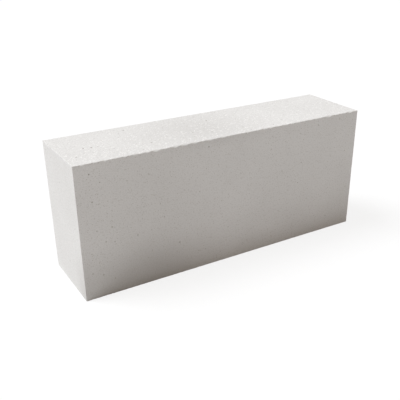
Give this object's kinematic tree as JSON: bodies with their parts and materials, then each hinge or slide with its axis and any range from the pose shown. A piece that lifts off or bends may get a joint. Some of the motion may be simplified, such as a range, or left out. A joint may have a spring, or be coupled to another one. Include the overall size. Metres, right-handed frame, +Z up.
{
  "type": "aerated concrete block",
  "caption": "Plain rectangular aerated concrete masonry block with wire-cut faces and crisp edges, laid on its long bed face in thin-joint walls and partitions.",
  "frame": {"origin": "middle of the lower bed face, on the plane that the block stands on", "axes": "+X along the block's length, +Y through the wall's thickness from the front wall face to the back one, +Z up from the lower bed face to the upper one"},
  "size_m": [0.6, 0.15, 0.25],
  "materials": {
    "aerated_concrete": "matte, chalky, finely porous, wire-cut"
  },
  "bodies": {
    "root": {"block": "aerated_concrete"}
  },
  "joints": []
}
